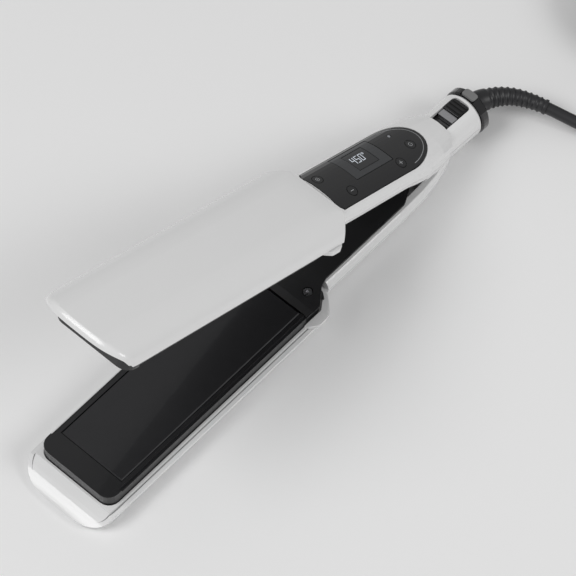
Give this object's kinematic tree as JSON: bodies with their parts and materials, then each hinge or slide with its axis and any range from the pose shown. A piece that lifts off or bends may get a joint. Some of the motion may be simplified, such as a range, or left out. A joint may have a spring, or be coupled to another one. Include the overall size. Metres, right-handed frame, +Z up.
{
  "type": "hair straightening iron",
  "caption": "White two-arm hair iron standing open: flat plates in black surrounds, panel with display and keys, rear lock slide, ribbed cord exit, coiled cord and flat plug.",
  "frame": {"origin": "on the table under the middle of the iron, cord left out", "axes": "+Z up, the tips of both arms towards -X, the cord towards +X, the hinge axis along Y"},
  "size_m": [0.447, 0.1023, 0.1284],
  "materials": {
    "white_gloss": "glossy white ABS",
    "black_gloss": "piano black",
    "black_satin": "satin black",
    "heat_black": "semi-gloss heat-resistant black",
    "plate_ceramic": "polished dark ceramic coating",
    "display_grey": "dark grey",
    "display_glass": "black display lens",
    "pad_grey": "grey satin",
    "steel": "plain steel",
    "spring_steel": "spring steel",
    "brass": "plain brass",
    "silicone": "silicone",
    "circuit_board": "green board",
    "component_black": "moulded",
    "heater_ceramic": "unglazed alumina",
    "lead_red": "insulated wire",
    "cord_black": "matt PVC",
    "light_lens": "clear lens"
  },
  "bodies": {
    "lower_arm": {"lower_cover": "white_gloss", "lower_frame": "white_gloss", "lower_heat_surround": "heat_black", "lower_hot_plate": "plate_ceramic", "lower_heater": "heater_ceramic", "lower_plate_cushion": "silicone", "lower_heater_lead": "lead_red", "lower_inner_cover": "black_satin", "lower_screw_left": "steel", "lower_screw_right": "steel", "lower_handle_shell": "white_gloss", "neck_cap": "white_gloss", "collar": "black_gloss", "collar_pad": "pad_grey", "brush_block": "component_black", "hinge_pin": "steel", "hinge_bracket": "steel", "opening_spring_left": "spring_steel", "opening_spring_right": "spring_steel", "strain_relief": "cord_black", "cord_lead": "cord_black", "cord_coil": "cord_black", "cord_tie": "black_satin", "cord_tail": "cord_black", "plug_body": "cord_black", "plug_blade_left": "brass", "plug_blade_right": "brass"},
    "upper_arm": {"upper_cover": "white_gloss", "upper_frame": "white_gloss", "upper_heat_surround": "heat_black", "upper_hot_plate": "plate_ceramic", "upper_heater": "heater_ceramic", "upper_plate_cushion": "silicone", "upper_heater_lead": "lead_red", "upper_inner_cover": "black_satin", "upper_screw_left": "steel", "upper_screw_right": "steel", "upper_handle_shell": "white_gloss", "hinge_knuckle": "steel", "latch_hook": "steel", "control_panel": "black_gloss", "display_frame": "display_grey", "display_window": "display_glass", "display_module": "component_black", "circuit_board": "circuit_board", "control_chip": "component_black", "capacitor": "component_black", "status_light": "light_lens"},
    "lock": {"lock_slider": "black_satin", "lock_plate": "steel"},
    "swivel": {"swivel_stem": "black_satin", "slip_ring": "brass"},
    "mode": {"mode_button": "black_gloss"},
    "minus": {"minus_button": "black_gloss"},
    "plus": {"plus_button": "black_gloss"},
    "power": {"power_button": "black_gloss"}
  },
  "joints": [
    {"name": "main_hinge", "type": "hinge", "parent": "lower_arm", "child": "upper_arm", "pos_m": [0.0991, 0, 0.0179], "axis": [0, -1, 0], "range_deg": [0, 22.7], "stiffness_Nm_per_rad": 0.6, "springref_deg": -33.98},
    {"name": "lock_slide", "type": "slide", "parent": "lower_arm", "child": "lock", "axis": [-0.9962, 0, 0.0872], "range_m": [0, 0.0042]},
    {"name": "cord_swivel", "type": "hinge", "parent": "lower_arm", "child": "swivel", "pos_m": [0.09906, 0, 0.0174], "axis": [0.9962, 0, -0.0872], "continuous": true},
    {"name": "mode_press", "type": "slide", "parent": "upper_arm", "child": "mode", "axis": [-0.3859, 0, -0.9225], "range_m": [0, 0.0005], "stiffness_N_per_m": 200, "springref_m": -0.001},
    {"name": "minus_press", "type": "slide", "parent": "upper_arm", "child": "minus", "axis": [-0.3859, 0, -0.9225], "range_m": [0, 0.0005], "stiffness_N_per_m": 200, "springref_m": -0.001},
    {"name": "plus_press", "type": "slide", "parent": "upper_arm", "child": "plus", "axis": [-0.3859, 0, -0.9225], "range_m": [0, 0.0005], "stiffness_N_per_m": 200, "springref_m": -0.001},
    {"name": "power_press", "type": "slide", "parent": "upper_arm", "child": "power", "axis": [-0.3859, 0, -0.9225], "range_m": [0, 0.0005], "stiffness_N_per_m": 200, "springref_m": -0.001}
  ]
}
